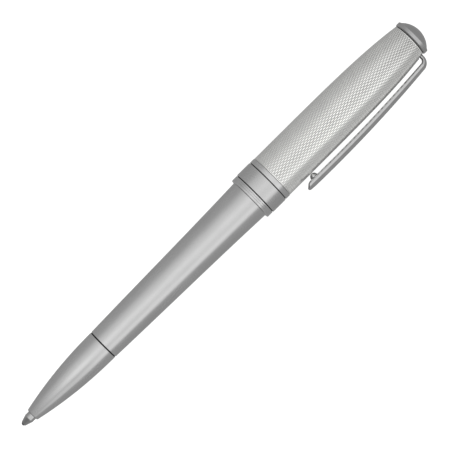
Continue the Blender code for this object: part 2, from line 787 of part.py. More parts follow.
# ---------------------------------------------------------------- clip
def clip_stations():
    """Inner point, outer point and half width of each section, from the free end to the root."""
    sections = []
    for inner_x, inner_station, outer_x, outer_station, share in CLIP_FREE_END:
        inner = (inner_x, inner_station)
        outer = (outer_x, outer_station)
        sections.append((inner, outer, CLIP_HALF_WIDTH * share))
    bar = [92.1 * MM, CLIP_CREST_STATION - CLIP_FRONT_FLAT_HALF]
    bar += [CLIP_CREST_STATION + CLIP_FRONT_FLAT_HALF, 107.0 * MM, 112.0 * MM]
    bar += [117.0 * MM, 122.0 * MM, 127.0 * MM]
    for station in bar:
        sections.append((
            (clip_inner(station), station),
            (clip_outer(station), station),
            CLIP_HALF_WIDTH,
        ))
    outer_centre = CLIP_LEG_TOP - CLIP_OUTER_BEND
    inner_centre = CLIP_LEG_TOP - CLIP_LEG_THICKNESS - CLIP_INNER_BEND
    outer_tilt = math.degrees((outer_centre - CLIP_CREST_STATION) / CLIP_OUTER_SWEEP)
    inner_tilt = math.degrees((inner_centre - CLIP_CREST_STATION) / CLIP_INNER_SWEEP)
    outer_start = outer_centre + CLIP_OUTER_BEND * math.sin(math.radians(outer_tilt))
    inner_start = inner_centre + CLIP_INNER_BEND * math.sin(math.radians(inner_tilt))
    outer_x = clip_outer(outer_start) - CLIP_OUTER_BEND * math.cos(math.radians(outer_tilt))
    inner_x = clip_inner(inner_start) - CLIP_INNER_BEND * math.cos(math.radians(inner_tilt))
    bends = 6
    outer_arc = arc(outer_x, outer_centre, CLIP_OUTER_BEND, outer_tilt, 90, bends)
    inner_arc = arc(inner_x, inner_centre, CLIP_INNER_BEND, inner_tilt, 90, bends)
    for step, (inner, outer) in enumerate(zip(inner_arc, outer_arc)):
        width = CLIP_HALF_WIDTH + (CLIP_LEG_HALF_WIDTH - CLIP_HALF_WIDTH) * step / bends
        sections.append((inner, outer, width))
    sections.append((
        (CLIP_ROOT_X, CLIP_LEG_TOP - CLIP_LEG_THICKNESS),
        (CLIP_ROOT_X, CLIP_LEG_TOP),
        CLIP_LEG_HALF_WIDTH,
    ))
    return sections


def clip_section(inner, outer, half_width):
    """Six corners: a flat back, straight sides up to a crease, and a narrower flat front."""
    inner = Vector((inner[0], 0, inner[1]))
    outer = Vector((outer[0], 0, outer[1]))
    crease = inner.lerp(outer, CLIP_CREASE)
    side = Vector((0, half_width, 0))
    front = side * CLIP_FLAT_SHARE
    return [inner - side, crease - side, outer - front, outer + front, crease + side, inner + side]


def make_clip(parent):
    """A loft along the clip's stations, since bar, bend and leg have unlike sections."""
    root = Vector((CLIP_ROOT_X, 0, CLIP_LEG_TOP - CLIP_LEG_THICKNESS / 2))
    mesh = bpy.data.meshes.new("clip")
    shape = bmesh.new()
    rings = []
    for inner, outer, width in clip_stations():
        corners = clip_section(inner, outer, width)
        rings.append([shape.verts.new(corner - root) for corner in corners])
    for here, there in zip(rings, rings[1:]):
        for i in range(len(here)):
            j = (i + 1) % len(here)
            shape.faces.new((here[i], here[j], there[j], there[i]))
    shape.faces.new(rings[0])
    shape.faces.new(list(reversed(rings[-1])))
    bmesh.ops.recalc_face_normals(shape, faces=shape.faces)
    shape.to_mesh(mesh)
    shape.free()
    clip = add_object("clip", mesh, parts)
    finish_piece(clip, metal("polished_clip", (0.6, 0.6, 0.6), 0.2), parent)


def make_clip_ball(parent):
    """The round foot under the free end, flat where it sits on the clip."""
    flat = clip_inner(CLIP_BALL_STATION) - GAP
    centre = shell_radius(CLIP_BALL_STATION) + CLIP_BALL_RADIUS + GAP
    flat_angle = -math.degrees(math.asin((centre - flat) / CLIP_BALL_RADIUS))
    profile = [(0, flat - centre)] + arc(0, 0, CLIP_BALL_RADIUS, flat_angle, -90, 6)
    profile[-1] = (0, -CLIP_BALL_RADIUS)
    ball = turned("clip_ball", profile, False, SMALL_SEGMENTS)
    finish_piece(ball, metal("polished_ball", (0.6, 0.6, 0.6), 0.2), parent)
    ball.location = Vector((centre, 0, CLIP_BALL_STATION)) - Vector(parent.location)
    ball.rotation_euler = (0, math.pi / 2, 0)


# ---------------------------------------------------------------- assembly
def lay_down(pen_axis):
    """Lay the pen along world X on its band and clip, and centre its box over the origin."""
    clip_side = Vector((0, -math.cos(ROLL), -math.sin(ROLL)))
    along = Vector((1, 0, 0))
    basis = Matrix((clip_side, along.cross(clip_side), along)).transposed()
    pen_axis.matrix_world = basis.to_4x4()
    bpy.context.view_layer.update()
    points = []
    for obj in parts.objects:
        if obj.type == "MESH":
            points += [obj.matrix_world @ vertex.co for vertex in obj.data.vertices]
    low = Vector([min(point[i] for point in points) for i in range(3)])
    high = Vector([max(point[i] for point in points) for i in range(3)])
    middle = (low + high) / 2
    pen_axis.location = (-middle.x, -middle.y, -low.z)
    bpy.context.view_layer.update()


def build_pen():
    pen_axis = empty_at("pen_axis", None)
    nose_axis = empty_at("nose_axis", pen_axis)
    upper_axis = empty_at("upper_axis", pen_axis)
    refill_axis = empty_at("refill_axis", pen_axis)
    ball_centre = empty_at("ball_centre", refill_axis, (0, 0, BALL_RADIUS))
    leg_middle = CLIP_LEG_TOP - CLIP_LEG_THICKNESS / 2
    clip_hinge = empty_at("clip_hinge", upper_axis, (CLIP_ROOT_X, 0, leg_middle))

    make_writing_ball(ball_centre)
    make_refill_tip(refill_axis)
    make_refill_tube(refill_axis)
    make_ink_column(refill_axis)
    make_refill_end_plug(refill_axis)
    make_refill_spring(refill_axis)
    make_plunger(refill_axis)
    make_drive_pin(refill_axis)

    make_nose_cone(nose_axis)
    make_nose_seal(nose_axis)

    make_lower_barrel(pen_axis)
    make_mechanism_sleeve(pen_axis)
    make_twist_o_ring(pen_axis)
    make_thrust_washer(pen_axis)
    make_retaining_ring(pen_axis)

    make_cam_tube(upper_axis)
    make_band_carrier(upper_axis)
    make_flange_ring(upper_axis)
    make_groove_washer("lower_groove_washer", LOWER_GROOVE_STATION, upper_axis)
    make_centre_band(upper_axis)
    make_groove_washer("upper_groove_washer", UPPER_GROOVE_STATION, upper_axis)
    make_upper_trim_ring(upper_axis)
    make_upper_barrel(upper_axis)
    make_upper_liner(upper_axis)
    make_top_plug(upper_axis)
    make_spring_washer(upper_axis)
    make_clip_ring(upper_axis)
    make_finial_stud(upper_axis)
    make_stud_nut(upper_axis)
    make_finial_cap(upper_axis)

    make_clip(clip_hinge)
    make_clip_ball(clip_hinge)

    lay_down(pen_axis)


clear_scene()
parts = new_collection("twist_ballpoint_pen")
cutters = new_collection("cutters")
build_pen()
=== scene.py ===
"""The looks of a twist-action ballpoint pen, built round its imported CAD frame.

Pieces are modelled in the pen's own frame: the writing tip at the origin, +Z towards the finial,
the clip on +X. Lengths in profiles are millimetres, and MM turns them into metres.
"""
import json
import math

import bmesh
import bpy
import numpy as np
from mathutils import Matrix, Vector


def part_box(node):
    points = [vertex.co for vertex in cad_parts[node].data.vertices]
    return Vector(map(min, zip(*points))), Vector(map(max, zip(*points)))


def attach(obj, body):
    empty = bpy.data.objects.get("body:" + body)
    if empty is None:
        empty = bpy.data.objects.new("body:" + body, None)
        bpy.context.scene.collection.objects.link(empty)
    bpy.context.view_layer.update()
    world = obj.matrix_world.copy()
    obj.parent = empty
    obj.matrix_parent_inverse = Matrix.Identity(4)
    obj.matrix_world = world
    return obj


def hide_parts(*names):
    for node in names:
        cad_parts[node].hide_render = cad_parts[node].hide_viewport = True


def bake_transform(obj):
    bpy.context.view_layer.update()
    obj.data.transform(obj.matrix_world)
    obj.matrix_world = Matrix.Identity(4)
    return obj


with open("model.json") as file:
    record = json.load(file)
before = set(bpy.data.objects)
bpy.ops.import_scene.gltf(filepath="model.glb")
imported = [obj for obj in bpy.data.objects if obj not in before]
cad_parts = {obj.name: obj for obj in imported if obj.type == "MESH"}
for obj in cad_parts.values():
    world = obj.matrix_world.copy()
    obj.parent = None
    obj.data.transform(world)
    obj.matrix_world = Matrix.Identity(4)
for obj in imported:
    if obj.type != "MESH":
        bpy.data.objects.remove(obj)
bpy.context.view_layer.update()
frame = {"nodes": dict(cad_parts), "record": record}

MM = 0.001
ROUND = 160
FINE_ROUND = 96
TAU = 2 * math.pi

joints = {joint["name"]: joint for joint in frame["record"]["behaviour"]["joints"]}
AXIS_POINT = Vector(joints["twist_turn"]["pos_m"])
ALONG = Vector((1, 0, 0))
CLIP_SIDE = ALONG.cross(Vector(joints["clip_flex"]["axis"])).normalized()
SIDE = ALONG.cross(CLIP_SIDE)


def pen_frame():
    """World matrix of the pen's own frame."""
    matrix = Matrix((CLIP_SIDE, SIDE, ALONG)).transposed().to_4x4()
    tip_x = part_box("writing_ball")[0].x
    matrix.translation = (tip_x, AXIS_POINT.y, AXIS_POINT.z)
    return matrix


PEN = pen_frame()


def station(node, end):
    """Station in millimetres of a CAD node's low (0) or high (1) end."""
    return (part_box(node)[end].x - PEN.translation.x) / MM


# ---------------------------------------------------------------- materials
class Graph:
    """A small helper for building one material's nodes."""

    def __init__(self, name):
        self.material = bpy.data.materials.new(name)
        self.material.use_nodes = True
        self.nodes = self.material.node_tree.nodes
        self.links = self.material.node_tree.links
        self.shader = self.nodes["Principled BSDF"]
        coordinates = self.add("ShaderNodeTexCoord")
        self.position = self.stretch(coordinates.outputs["Object"], (1 / MM, 1 / MM, 1 / MM))

    def add(self, kind, **settings):
        node = self.nodes.new(kind)
        for key, value in settings.items():
            setattr(node, key, value)
        return node

    def join(self, source, target):
        self.links.new(source, target)

    def stretch(self, source, scale):
        mapping = self.add("ShaderNodeMapping", vector_type="POINT")
        mapping.inputs["Scale"].default_value = scale
        self.join(source, mapping.inputs["Vector"])
        return mapping.outputs["Vector"]

    def noise(self, scale, detail=2.0, roughness=0.5, stretch=(1, 1, 1)):
        """Noise in millimetres: scale is features per millimetre."""
        node = self.add("ShaderNodeTexNoise")
        node.inputs["Scale"].default_value = scale
        node.inputs["Detail"].default_value = detail
        node.inputs["Roughness"].default_value = roughness
        self.join(self.stretch(self.position, stretch), node.inputs["Vector"])
        return node.outputs["Fac"]

    def remap(self, source, low, high, from_low=0.3, from_high=0.7):
        node = self.add("ShaderNodeMapRange")
        node.inputs["From Min"].default_value = from_low
        node.inputs["From Max"].default_value = from_high
        node.inputs["To Min"].default_value = low
        node.inputs["To Max"].default_value = high
        self.join(source, node.inputs["Value"])
        return node.outputs["Result"]

    def maths(self, operation, first, second):
        node = self.add("ShaderNodeMath", operation=operation)
        for slot, value in zip(node.inputs, (first, second)):
            if isinstance(value, (int, float)):
                slot.default_value = value
            else:
                self.join(value, slot)
        return node.outputs["Value"]

    def mix(self, factor, first, second):
        """Blend two colours; each is a tuple or a socket."""
        node = self.add("ShaderNodeMix", data_type="RGBA")
        self.join(factor, node.inputs["Factor"])
        for slot, value in ((node.inputs[6], first), (node.inputs[7], second)):
            if isinstance(value, tuple):
                slot.default_value = (*value, 1.0)
            else:
                self.join(value, slot)
        return node.outputs[2]

    def attribute(self, name):
        node = self.add("ShaderNodeAttribute", attribute_name=name)
        return node.outputs["Fac"]

    def bump(self, height, distance_mm, strength=1.0, normal=None):
        node = self.add("ShaderNodeBump")
        node.inputs["Strength"].default_value = strength
        node.inputs["Distance"].default_value = distance_mm * MM
        self.join(height, node.inputs["Height"])
        if normal is not None:
            self.join(normal, node.inputs["Normal"])
        return node.outputs["Normal"]

    def finish(self, colour, roughness, normal=None, metallic=1.0):
        self.join(colour, self.shader.inputs["Base Color"])
        self.join(roughness, self.shader.inputs["Roughness"])
        if normal is not None:
            self.join(normal, self.shader.inputs["Normal"])
        self.shader.inputs["Metallic"].default_value = metallic
        return self.material


def shade(colour, factor):
    return tuple(min(1.0, part * factor) for part in colour)


def satin_metal(name, colour, roughness, lathe=0.5):
    """Bead-blasted plate with faint turning lines, soft smudges and edges worn brighter."""
    graph = Graph(name)
    blast = graph.noise(9.0, 3.0, 0.6)
    turning = graph.noise(7.0, 2.0, 0.5, (0.15, 0.15, 1.0))
    smudge = graph.noise(0.22, 3.0, 0.55, (1.0, 1.0, 0.5))
    wear = graph.attribute("edge")
    tone = graph.mix(graph.remap(smudge, 0.0, 1.0), shade(colour, 0.96), shade(colour, 1.04))
    tone = graph.mix(graph.maths("MULTIPLY", wear, 0.6), tone, shade(colour, 1.22))
    rough = graph.maths(
        "ADD",
        graph.remap(smudge, roughness - 0.03, roughness + 0.03),
        graph.remap(blast, -0.04, 0.04),
    )
    rough = graph.maths("SUBTRACT", rough, graph.maths("MULTIPLY", wear, 0.10))
    normal = graph.bump(blast, 0.004, 0.35)
    normal = graph.bump(turning, 0.003 * lathe, 0.5, normal)
    return graph.finish(tone, rough, normal)


def polished_metal(name, colour, roughness):
    """Bright plate with fine hairline scratches from use; faces marked back get painted shade, darkened to
    a third of the plate's colour.
    """
    graph = Graph(name)
    hairs = graph.noise(5.0, 4.0, 0.65, (1.0, 1.0, 0.06))
    smudge = graph.noise(0.35, 3.0, 0.5)
    wear = graph.attribute("edge")
    back = graph.attribute("back")
    tone = graph.mix(graph.remap(smudge, 0.0, 1.0), shade(colour, 0.95), shade(colour, 1.05))
    tone = graph.mix(graph.maths("MULTIPLY", wear, 0.4), tone, shade(colour, 1.15))
    # painted shade: faces marked back (the clip's flat inner side, turned towards the barrel) are darkened
    # to a third of the plate's colour
    tone = graph.mix(back, tone, shade(colour, 0.32))
    rough = graph.maths(
        "ADD",
        graph.remap(smudge, roughness - 0.03, roughness + 0.03),
        graph.remap(hairs, -0.03, 0.05),
    )
    normal = graph.bump(hairs, 0.002, 0.4)
    return graph.finish(tone, rough, normal)


def engraved_metal(name, colour, roughness):
    """Bright plate over the engraving; the cuts are darkened, partly as tarnish and partly as painted shade
    in the grooves, and painted shade lies round the clip's notch.
    """
    graph = Graph(name)
    depth = graph.attribute("depth")
    smudge = graph.noise(0.25, 3.0, 0.55)
    fine = graph.noise(14.0, 2.0, 0.5)
    tone = graph.mix(graph.remap(smudge, 0.0, 1.0), shade(colour, 0.97), shade(colour, 1.03))
    # the cuts darken towards their bottoms: tarnish held in the cuts plus painted shade in the V grooves
    tone = graph.mix(graph.maths("MULTIPLY", depth, 0.95), tone, shade(colour, 0.12))
    # painted shade round the clip's notch, near black
    tone = graph.mix(graph.attribute("notch_shade"), tone, shade(colour, 0.03))
    rough = graph.maths(
        "ADD",
        graph.remap(smudge, roughness - 0.02, roughness + 0.03),
        graph.maths("MULTIPLY", depth, 0.04),
    )
    normal = graph.bump(fine, 0.002, 0.3)
    return graph.finish(tone, rough, normal)


def soft_plastic(name, colour, roughness):
    """Moulded plastic or rubber: a fine grain and dull patches."""
    graph = Graph(name)
    grain = graph.noise(8.0, 3.0, 0.6)
    patches = graph.noise(0.5, 3.0, 0.5)
    tone = graph.mix(graph.remap(patches, 0.0, 1.0), shade(colour, 0.85), shade(colour, 1.2))
    rough = graph.maths(
        "ADD",
        graph.remap(patches, roughness - 0.06, roughness + 0.06),
        graph.remap(grain, -0.05, 0.05),
    )
    normal = graph.bump(grain, 0.004, 0.5)
    return graph.finish(tone, rough, normal, metallic=0.0)


def brass_metal(name, colour, tarnished):
    """Turned brass with tool lines and a patchy brown tarnish."""
    graph = Graph(name)
    turning = graph.noise(9.0, 2.0, 0.6, (1.0, 0.1, 0.1))
    tarnish = graph.noise(0.5, 4.0, 0.6)
    tone = graph.mix(graph.remap(tarnish, 0.0, 1.0, 0.4, 0.75), colour, tarnished)
    rough = graph.maths(
        "ADD",
        graph.remap(tarnish, 0.28, 0.45),
        graph.remap(turning, -0.05, 0.05),
    )
    normal = graph.bump(turning, 0.006, 0.6)
    return graph.finish(tone, rough, normal)


# ---------------------------------------------------------------- profiles
def filleted(points, closed, steps=4):
    """Round a profile's corners. A point is (radius, station) or (radius, station, fillet)."""
    made = []
    count = len(points)
    for i, point in enumerate(points):
        here = Vector(point[:2])
        size = point[2] if len(point) > 2 else 0.0
        inside = 0 < i < count - 1 or closed
        if not size or not inside:
            made.append((here.x, here.y, 0.0))
            continue
        before = Vector(points[i - 1][:2])
        after = Vector(points[(i + 1) % count][:2])
        into = (here - before).normalized()
        out = (after - here).normalized()
        turn = into.angle(out)
        back = min(
            size * math.tan(turn / 2),
            0.45 * (here - before).length,
            0.45 * (after - here).length,
        )
        start = here - into * back
        end = here + out * back
        support = min(back, 0.04)
        made.append((*(start - into * support), 0.0))
        for step in range(steps + 1):
            t = step / steps
            low = start.lerp(here, t)
            high = here.lerp(end, t)
            spot = low.lerp(high, t)
            made.append((spot.x, spot.y, 1.0 - abs(2 * t - 1) * 0.4))
        made.append((*(end + out * support), 0.0))
    return made


def lathe(name, points, body, slot, material, closed=True, segments=ROUND):
    """A turned piece from a profile that runs down its outer side and back up its bore."""
    profile = filleted(points, closed)
    mesh = bpy.data.meshes.new(name)
    shape = bmesh.new()
    edge = shape.verts.layers.float.new("edge")
    rings = []
    for radius, z, wear in profile:
        ring = []
        if radius < 1e-6:
            vertex = shape.verts.new((0, 0, z * MM))
            ring = [vertex] * segments
        else:
            for step in range(segments):
                angle = TAU * step / segments
                ring.append(shape.verts.new((
                    radius * math.cos(angle) * MM,
                    radius * math.sin(angle) * MM,
                    z * MM,
                )))
        for vertex in ring:
            vertex[edge] = wear
        rings.append(ring)
    pairs = list(zip(rings, rings[1:]))
    if closed:
        pairs.append((rings[-1], rings[0]))
    for upper, lower in pairs:
        for step in range(segments):
            other = (step + 1) % segments
            corners = [upper[step], lower[step], lower[other], upper[other]]
            unique = list(dict.fromkeys(corners))
            if len(unique) > 2:
                shape.faces.new(unique)
    shape.to_mesh(mesh)
    shape.free()
    return place(name, mesh, body, material, [name])


def place(name, mesh, body, material, nodes, sharp=35, matrix=PEN):
    """Shade a finished mesh, stand it in the pen's frame and hang it on its body."""
    obj = bpy.data.objects.new(name + "_look", mesh)
    bpy.context.scene.collection.objects.link(obj)
    mesh.shade_smooth()
    if sharp:
        mesh.set_sharp_from_angle(angle=math.radians(sharp))
    mesh.materials.clear()
    mesh.materials.append(material)
    obj.matrix_world = matrix
    if body:
        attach(obj, body)
    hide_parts(*nodes)
    return obj


def curve_points(rule, start, end, steps):
    """Points of a curved wall, from its start station to its end station."""
    made = []
    for step in range(steps + 1):
        z = start + (end - start) * step / steps
        made.append((rule(z), z))
    return made


# ---------------------------------------------------------------- outline rules
MOUTH = station("nose_cone", 0)
NOSE_SEAM = (station("nose_seal", 0) + station("nose_seal", 1)) / 2
SHOULDER = 78.33
SHELL_START = station("upper_barrel", 0)
SHELL_END = station("upper_barrel", 1)
TOP = station("finial_cap", 1)
MOUTH_RADIUS = 1.666
NOSE_SEAM_RADIUS = 4.21
BARREL_START_RADIUS = 4.22
BARREL_FLARE = (1.477, -1.039, 0.830)
FLANGE_RADIUS = 6.24
BAND_RADIUS = 6.32
TRIM_RADIUS = 6.28
SHELL_RADIUS = 6.20
SHELL_END_RADIUS = 4.74
FINIAL_RADIUS = 4.95
FINIAL_BASE = 133.66
NOSE_POWER = 2.104
SHELL_POWER = 4.4
SHELL_WALL = 0.70
SEAM_HALF = 0.16
TAIL_RADIUS = 4.90
RING_BORE = 5.55
POINT_RADIUS = 1.25
POINT_CONE = 2.30


def nose_radius(z):
    share = max(0.0, (NOSE_SEAM - z) / (NOSE_SEAM - MOUTH))
    return NOSE_SEAM_RADIUS - (NOSE_SEAM_RADIUS - MOUTH_RADIUS) * share ** NOSE_POWER


def barrel_radius(z):
    share = (z - NOSE_SEAM) / (SHOULDER - NOSE_SEAM)
    return BARREL_START_RADIUS + sum(gain * share ** power for power, gain in enumerate(BARREL_FLARE, 1))


def shell_radius(z):
    share = (z - SHELL_START) / (SHELL_END - SHELL_START)
    return SHELL_RADIUS - (SHELL_RADIUS - SHELL_END_RADIUS) * max(share, 0.0) ** SHELL_POWER


# ---------------------------------------------------------------- refill and nose
def make_refill(point_metal, ball_metal, tube_metal):
    neck = station("refill_tube", 0)
    lip = 0.36
    lathe("refill_tip", [
        (1.45, 21.0, 0.05), (1.45, neck - 0.2, 0.05), (POINT_RADIUS, neck - 0.2),
        (POINT_RADIUS, POINT_CONE, 0.06), (POINT_RADIUS - 0.06, POINT_CONE - 0.22, 0.10),
        (0.665, lip + 0.13, 0.05), (0.585, lip, 0.02),
        (0.53, lip + 0.02, 0.02), (0.545, 0.5), (0.45, 0.85),
        (0.2, 1.2), (0.2, 3.0), (0.7, 3.6), (0.7, 21.0),
    ], "refill", "refill_point", point_metal, segments=FINE_ROUND)
    ball = bmesh.new()
    bmesh.ops.create_uvsphere(ball, u_segments=48, v_segments=32, radius=0.5 * MM)
    mesh = bpy.data.meshes.new("writing_ball")
    ball.to_mesh(mesh)
    ball.free()
    place("writing_ball", mesh, "ball", ball_metal, ["writing_ball"],
          matrix=PEN @ Matrix.Translation((0, 0, 0.5 * MM)))
    lathe("refill_tube", [
        (2.85, 93.0, 0.1), (2.85, 90.2), (2.80, 90.0), (2.80, 89.6), (2.85, 89.4), (2.85, 21.6, 0.6),
        (1.95, 19.0, 0.5), (1.95, neck, 0.1), (1.50, neck, 0.05), (1.50, 20.4), (2.60, 22.4), (2.60, 93.0),
    ], "refill", "refill_metal", tube_metal, segments=FINE_ROUND)


def make_spring(metal):
    """The compression spring, as wire along a helix with closed ends."""
    wire, radius, turns = 0.18, 1.70, 8
    first = station("refill_spring", 0) + wire
    last = station("refill_spring", 1) - wire
    closed_pitch = 2.5 * wire
    open_pitch = (last - first - 2 * closed_pitch) / (turns - 2)
    curve = bpy.data.curves.new("refill_spring", "CURVE")
    curve.dimensions = "3D"
    curve.bevel_depth = wire * MM
    curve.bevel_resolution = 4
    curve.use_fill_caps = True
    steps = 28
    spline = curve.splines.new("POLY")
    spline.points.add(turns * steps)
    for step in range(turns * steps + 1):
        turn = step / steps
        rise = min(turn, 1) * closed_pitch
        rise += min(max(turn - 1, 0), turns - 2) * open_pitch
        rise += max(turn - (turns - 1), 0) * closed_pitch
        spot = Vector((radius * math.cos(TAU * turn), radius * math.sin(TAU * turn), first + rise)) * MM
        spline.points[step].co = (*spot, 1.0)
    path = bpy.data.objects.new("refill_spring_path", curve)
    bpy.context.scene.collection.objects.link(path)
    bpy.context.view_layer.update()
    mesh = bpy.data.meshes.new_from_object(path.evaluated_get(bpy.context.evaluated_depsgraph_get()))
    bpy.data.objects.remove(path, do_unlink=True)
    shape = bmesh.new()
    shape.from_mesh(mesh)
    bmesh.ops.remove_doubles(shape, verts=shape.verts, dist=0.001 * MM)
    shape.to_mesh(mesh)
    shape.free()
    spring = place("refill_spring", mesh, None, metal, ["refill_spring"])
    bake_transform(spring)


def make_nose(metal, rubber):
    rear = NOSE_SEAM - SEAM_HALF
    spigot_end = station("nose_cone", 1)
    spring_step = station("refill_spring", 0) - 0.05
    chamfer = 0.12
    front = MOUTH + chamfer
    thread_start, thread_end, pitch, depth = rear + 0.9, spigot_end - 0.5, 0.75, 0.16
    profile = [(3.05, spigot_end, 0.06), (3.22, spigot_end, 0.06), (3.40, spigot_end - 0.18, 0.03)]
    profile += [(3.40, z) for z in np.arange(thread_end, thread_start, -pitch / 8)]
    profile += [(3.40, rear + 0.75, 0.05), (3.24, rear + 0.6, 0.05), (3.24, rear, 0.04)]
    profile += [(nose_radius(rear), rear, 0.07)]
    profile += curve_points(nose_radius, rear - 0.4, front + 0.1, 60)
    profile += [(nose_radius(front), front, 0.09), (nose_radius(front) - chamfer, MOUTH, 0.07)]
    profile += [(1.36, MOUTH, 0.05), (1.36, spring_step), (2.15, spring_step), (2.15, 17.0), (3.05, 19.8)]
    nose = lathe("nose_cone", profile, "nose", "satin_metal", metal)
    for vertex in nose.data.vertices:
        x, y, z = vertex.co / MM
        radius = math.hypot(x, y)
        if thread_start - 0.01 < z < thread_end + 0.01 and radius > 3.3:
            turn = (math.atan2(y, x) / TAU + z / pitch) % 1.0
            fade = min(1.0, (z - thread_start) / pitch, (thread_end - z) / pitch)
            cut = depth * abs(2 * turn - 1) * max(fade, 0.0)
            vertex.co.x *= (radius - cut) / radius
            vertex.co.y *= (radius - cut) / radius
    low, high = station("nose_seal", 0), station("nose_seal", 1)
    outer = NOSE_SEAM_RADIUS - 0.10
    lathe("nose_seal", [(outer, high, 0.06), (outer, low, 0.06), (3.46, low), (3.46, high)],
          "nose_seal", "black_rubber", rubber)


def make_barrel(metal):
    front = NOSE_SEAM + SEAM_HALF
    tail = station("lower_barrel", 1)
    groove_low, groove_high, groove_floor = 82.73, 83.27, 4.48
    profile = [
        (TAIL_RADIUS, tail, 0.1), (TAIL_RADIUS, groove_high, 0.03), (groove_floor, groove_high, 0.03),
        (groove_floor, groove_low, 0.03), (TAIL_RADIUS, groove_low, 0.03),
        (TAIL_RADIUS, SHOULDER, 0.03), (barrel_radius(SHOULDER), SHOULDER, 0.08),
    ]
    profile += curve_points(barrel_radius, SHOULDER - 0.35, front + 0.35, 60)
    profile += [
        (barrel_radius(front), front, 0.07), (3.55, front, 0.05), (3.55, 70.0),
        (4.05, 70.5), (4.05, tail),
    ]
    lathe("lower_barrel", profile, "root", "satin_metal", metal)


# ---------------------------------------------------------------- centre rings
def make_rings(trim, band, black):
    low, high = station("flange_ring", 0), station("flange_ring", 1)
    line = 0.03
    lip_radius, lip_low, lip_high = 5.05, 78.62, 78.95
    lathe("flange_ring", [
        (RING_BORE, high), (FLANGE_RADIUS, high, 0.05), (FLANGE_RADIUS, high - 0.40, 0.02),
        (FLANGE_RADIUS - line, high - 0.44, 0.02), (FLANGE_RADIUS - line, high - 0.50, 0.02),
        (FLANGE_RADIUS, high - 0.54, 0.02), (FLANGE_RADIUS, high - 0.92, 0.02),
        (FLANGE_RADIUS - line, high - 0.96, 0.02), (FLANGE_RADIUS - line, high - 1.02, 0.02),
        (FLANGE_RADIUS, high - 1.06, 0.02), (FLANGE_RADIUS, low + 0.02, 0.26), (RING_BORE, low, 0.03),
        (RING_BORE, lip_low), (lip_radius, lip_low), (lip_radius, lip_high), (RING_BORE, lip_high),
    ], "upper", "satin_trim", trim)
    low, high = station("centre_band", 0), station("centre_band", 1)
    lathe("centre_band", [
        (RING_BORE, high), (BAND_RADIUS, high, 0.07), (BAND_RADIUS, high - 0.5), (BAND_RADIUS, low + 0.5),
        (BAND_RADIUS, low, 0.07), (RING_BORE, low),
    ], "upper", "satin_trim", band)
    for name in ("lower_groove_washer", "upper_groove_washer"):
        low, high = station(name, 0), station(name, 1)
        outer = BAND_RADIUS - 0.25
        lathe(name, [
            (outer, high, 0.03), (outer, low, 0.03), (RING_BORE + 0.01, low), (RING_BORE + 0.01, high),
        ], "upper", "black_plastic", black)
    low, high = station("upper_trim_ring", 0), station("upper_trim_ring", 1)
    lathe("upper_trim_ring", [
        (RING_BORE, high), (TRIM_RADIUS - 0.04, high, 0.02), (TRIM_RADIUS, high - 0.04, 0.02),
        (TRIM_RADIUS, low, 0.05), (RING_BORE, low),
    ], "upper", "satin_trim", trim)


# ---------------------------------------------------------------- engraved shell
GRAIN_ROWS = 96
GRAIN_LENGTH = 1.41
GRAIN_WAVE = 0.19
GRAIN_STEPS = 8
CUT_HALF_WIDTH = 0.095
CUT_DEPTH = 0.065
PLAIN_EDGE = 0.14
NOTCH_FLOOR = 131.9
NOTCH_WIDTH = 3.10
NOTCH_SHADE_REACH = 0.45
BORE_TAPER = 114.0


def engraved_surface(zs):
    """Rings of the shell's outside. Wavy V cuts run along it, each half a grain out of step with
    its neighbours, so that the flats left between them swell and pinch off into grains."""
    rings, depths = [], []
    for z in zs:
        edge = min(z - SHELL_START, SHELL_END - z)
        fade = min(1.0, max(0.0, (edge - PLAIN_EDGE) / 0.10))
        wave = GRAIN_WAVE * math.cos(TAU * z / GRAIN_LENGTH)
        outer = shell_radius(z)
        cut_share = CUT_HALF_WIDTH * GRAIN_ROWS / (TAU * outer)
        ring, depth = [], []
        for row in range(GRAIN_ROWS):
            sign = 1 if row % 2 == 0 else -1
            cut = row + sign * wave
            gap = 1 - 2 * sign * wave
            reach = min(cut_share, 0.48 * gap)
            top = reach / cut_share
            for offset, lift in ((0.0, 0.0), (reach, top), (gap - reach, top)):
                angle = TAU * (cut + offset) / GRAIN_ROWS
                drop = CUT_DEPTH * (1 - lift) * fade
                ring.append(((outer - drop) * math.cos(angle), (outer - drop) * math.sin(angle), z))
                depth.append(drop / CUT_DEPTH)
        rings.append(ring)
        depths.append(depth)
    return rings, depths


